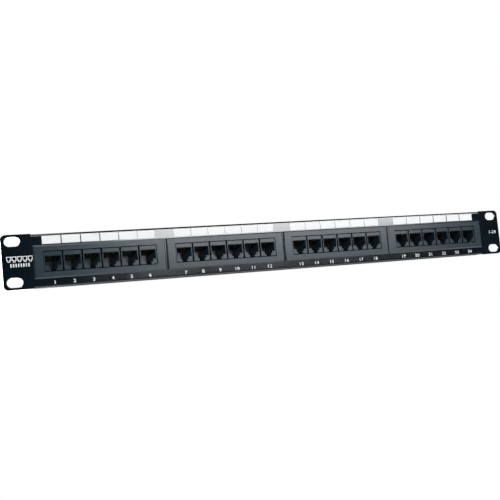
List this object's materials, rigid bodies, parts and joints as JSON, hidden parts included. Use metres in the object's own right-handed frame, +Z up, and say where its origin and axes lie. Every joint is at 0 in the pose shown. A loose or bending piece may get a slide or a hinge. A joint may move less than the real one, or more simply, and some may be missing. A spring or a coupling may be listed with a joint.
{
  "type": "rack patch panel",
  "caption": "Rack-mount patch panel: a folded steel panel with a row of snap-in modular-socket modules in front, write-on labels above them, and punch-down wiring blocks behind.",
  "frame": {"origin": "centre of the four rack slots, on the rear face of the ears (the face that meets the rack's rails)", "axes": "+X to the panel's right end as seen from the front, +Y to the rear, into the rack, +Z up"},
  "size_m": [0.4826, 0.0312, 0.043],
  "materials": {
    "black_powder_coat": "satin black",
    "bezel_plastic": "fine-grained ABS, dark grey",
    "jack_plastic": "satin, near black",
    "block_plastic": "satin, black",
    "gold_contact": "gold-plated phosphor bronze",
    "tinned_contact": "tin-plated phosphor bronze",
    "circuit_board": "dark green solder mask",
    "zinc_steel": "zinc plated",
    "white_label": "matt write-on film"
  },
  "bodies": {
    "panel": {"steel_panel": "black_powder_coat", "board_screws": "zinc_steel", "port_labels": "white_label", "bezel_1": "bezel_plastic", "jack_housings_1": "jack_plastic", "contact_leads_1": "gold_contact", "circuit_board_1": "circuit_board", "wiring_blocks_upper_1": "block_plastic", "wiring_blocks_lower_1": "block_plastic", "wiring_contacts_1": "tinned_contact", "wiring_code_1": "white_label", "bezel_2": "bezel_plastic", "jack_housings_2": "jack_plastic", "contact_leads_2": "gold_contact", "circuit_board_2": "circuit_board", "wiring_blocks_upper_2": "block_plastic", "wiring_blocks_lower_2": "block_plastic", "wiring_contacts_2": "tinned_contact", "wiring_code_2": "white_label", "bezel_3": "bezel_plastic", "jack_housings_3": "jack_plastic", "contact_leads_3": "gold_contact", "circuit_board_3": "circuit_board", "wiring_blocks_upper_3": "block_plastic", "wiring_blocks_lower_3": "block_plastic", "wiring_contacts_3": "tinned_contact", "wiring_code_3": "white_label", "bezel_4": "bezel_plastic", "jack_housings_4": "jack_plastic", "contact_leads_4": "gold_contact", "circuit_board_4": "circuit_board", "wiring_blocks_upper_4": "block_plastic", "wiring_blocks_lower_4": "block_plastic", "wiring_contacts_4": "tinned_contact", "wiring_code_4": "white_label"},
    "wires_01": {"spring_wires_01": "gold_contact"},
    "wires_02": {"spring_wires_02": "gold_contact"},
    "wires_03": {"spring_wires_03": "gold_contact"},
    "wires_04": {"spring_wires_04": "gold_contact"},
    "wires_05": {"spring_wires_05": "gold_contact"},
    "wires_06": {"spring_wires_06": "gold_contact"},
    "wires_07": {"spring_wires_07": "gold_contact"},
    "wires_08": {"spring_wires_08": "gold_contact"},
    "wires_09": {"spring_wires_09": "gold_contact"},
    "wires_10": {"spring_wires_10": "gold_contact"},
    "wires_11": {"spring_wires_11": "gold_contact"},
    "wires_12": {"spring_wires_12": "gold_contact"},
    "wires_13": {"spring_wires_13": "gold_contact"},
    "wires_14": {"spring_wires_14": "gold_contact"},
    "wires_15": {"spring_wires_15": "gold_contact"},
    "wires_16": {"spring_wires_16": "gold_contact"},
    "wires_17": {"spring_wires_17": "gold_contact"},
    "wires_18": {"spring_wires_18": "gold_contact"},
    "wires_19": {"spring_wires_19": "gold_contact"},
    "wires_20": {"spring_wires_20": "gold_contact"},
    "wires_21": {"spring_wires_21": "gold_contact"},
    "wires_22": {"spring_wires_22": "gold_contact"},
    "wires_23": {"spring_wires_23": "gold_contact"},
    "wires_24": {"spring_wires_24": "gold_contact"}
  },
  "joints": [
    {"name": "wires_01_flex", "type": "hinge", "parent": "panel", "child": "wires_01", "pos_m": [-0.20235, -0.00055, 0.0037], "axis": [1, 0, 0], "range_deg": [0, 12], "stiffness_Nm_per_rad": 0.56},
    {"name": "wires_02_flex", "type": "hinge", "parent": "panel", "child": "wires_02", "pos_m": [-0.18681, -0.00055, 0.0037], "axis": [1, 0, 0], "range_deg": [0, 12], "stiffness_Nm_per_rad": 0.56},
    {"name": "wires_03_flex", "type": "hinge", "parent": "panel", "child": "wires_03", "pos_m": [-0.17127, -0.00055, 0.0037], "axis": [1, 0, 0], "range_deg": [0, 12], "stiffness_Nm_per_rad": 0.56},
    {"name": "wires_04_flex", "type": "hinge", "parent": "panel", "child": "wires_04", "pos_m": [-0.15573, -0.00055, 0.0037], "axis": [1, 0, 0], "range_deg": [0, 12], "stiffness_Nm_per_rad": 0.56},
    {"name": "wires_05_flex", "type": "hinge", "parent": "panel", "child": "wires_05", "pos_m": [-0.14019, -0.00055, 0.0037], "axis": [1, 0, 0], "range_deg": [0, 12], "stiffness_Nm_per_rad": 0.56},
    {"name": "wires_06_flex", "type": "hinge", "parent": "panel", "child": "wires_06", "pos_m": [-0.12465, -0.00055, 0.0037], "axis": [1, 0, 0], "range_deg": [0, 12], "stiffness_Nm_per_rad": 0.56},
    {"name": "wires_07_flex", "type": "hinge", "parent": "panel", "child": "wires_07", "pos_m": [-0.09335, -0.00055, 0.0037], "axis": [1, 0, 0], "range_deg": [0, 12], "stiffness_Nm_per_rad": 0.56},
    {"name": "wires_08_flex", "type": "hinge", "parent": "panel", "child": "wires_08", "pos_m": [-0.07781, -0.00055, 0.0037], "axis": [1, 0, 0], "range_deg": [0, 12], "stiffness_Nm_per_rad": 0.56},
    {"name": "wires_09_flex", "type": "hinge", "parent": "panel", "child": "wires_09", "pos_m": [-0.06227, -0.00055, 0.0037], "axis": [1, 0, 0], "range_deg": [0, 12], "stiffness_Nm_per_rad": 0.56},
    {"name": "wires_10_flex", "type": "hinge", "parent": "panel", "child": "wires_10", "pos_m": [-0.04673, -0.00055, 0.0037], "axis": [1, 0, 0], "range_deg": [0, 12], "stiffness_Nm_per_rad": 0.56},
    {"name": "wires_11_flex", "type": "hinge", "parent": "panel", "child": "wires_11", "pos_m": [-0.03119, -0.00055, 0.0037], "axis": [1, 0, 0], "range_deg": [0, 12], "stiffness_Nm_per_rad": 0.56},
    {"name": "wires_12_flex", "type": "hinge", "parent": "panel", "child": "wires_12", "pos_m": [-0.01565, -0.00055, 0.0037], "axis": [1, 0, 0], "range_deg": [0, 12], "stiffness_Nm_per_rad": 0.56},
    {"name": "wires_13_flex", "type": "hinge", "parent": "panel", "child": "wires_13", "pos_m": [0.01565, -0.00055, 0.0037], "axis": [1, 0, 0], "range_deg": [0, 12], "stiffness_Nm_per_rad": 0.56},
    {"name": "wires_14_flex", "type": "hinge", "parent": "panel", "child": "wires_14", "pos_m": [0.03119, -0.00055, 0.0037], "axis": [1, 0, 0], "range_deg": [0, 12], "stiffness_Nm_per_rad": 0.56},
    {"name": "wires_15_flex", "type": "hinge", "parent": "panel", "child": "wires_15", "pos_m": [0.04673, -0.00055, 0.0037], "axis": [1, 0, 0], "range_deg": [0, 12], "stiffness_Nm_per_rad": 0.56},
    {"name": "wires_16_flex", "type": "hinge", "parent": "panel", "child": "wires_16", "pos_m": [0.06227, -0.00055, 0.0037], "axis": [1, 0, 0], "range_deg": [0, 12], "stiffness_Nm_per_rad": 0.56},
    {"name": "wires_17_flex", "type": "hinge", "parent": "panel", "child": "wires_17", "pos_m": [0.07781, -0.00055, 0.0037], "axis": [1, 0, 0], "range_deg": [0, 12], "stiffness_Nm_per_rad": 0.56},
    {"name": "wires_18_flex", "type": "hinge", "parent": "panel", "child": "wires_18", "pos_m": [0.09335, -0.00055, 0.0037], "axis": [1, 0, 0], "range_deg": [0, 12], "stiffness_Nm_per_rad": 0.56},
    {"name": "wires_19_flex", "type": "hinge", "parent": "panel", "child": "wires_19", "pos_m": [0.12465, -0.00055, 0.0037], "axis": [1, 0, 0], "range_deg": [0, 12], "stiffness_Nm_per_rad": 0.56},
    {"name": "wires_20_flex", "type": "hinge", "parent": "panel", "child": "wires_20", "pos_m": [0.14019, -0.00055, 0.0037], "axis": [1, 0, 0], "range_deg": [0, 12], "stiffness_Nm_per_rad": 0.56},
    {"name": "wires_21_flex", "type": "hinge", "parent": "panel", "child": "wires_21", "pos_m": [0.15573, -0.00055, 0.0037], "axis": [1, 0, 0], "range_deg": [0, 12], "stiffness_Nm_per_rad": 0.56},
    {"name": "wires_22_flex", "type": "hinge", "parent": "panel", "child": "wires_22", "pos_m": [0.17127, -0.00055, 0.0037], "axis": [1, 0, 0], "range_deg": [0, 12], "stiffness_Nm_per_rad": 0.56},
    {"name": "wires_23_flex", "type": "hinge", "parent": "panel", "child": "wires_23", "pos_m": [0.18681, -0.00055, 0.0037], "axis": [1, 0, 0], "range_deg": [0, 12], "stiffness_Nm_per_rad": 0.56},
    {"name": "wires_24_flex", "type": "hinge", "parent": "panel", "child": "wires_24", "pos_m": [0.20235, -0.00055, 0.0037], "axis": [1, 0, 0], "range_deg": [0, 12], "stiffness_Nm_per_rad": 0.56}
  ]
}
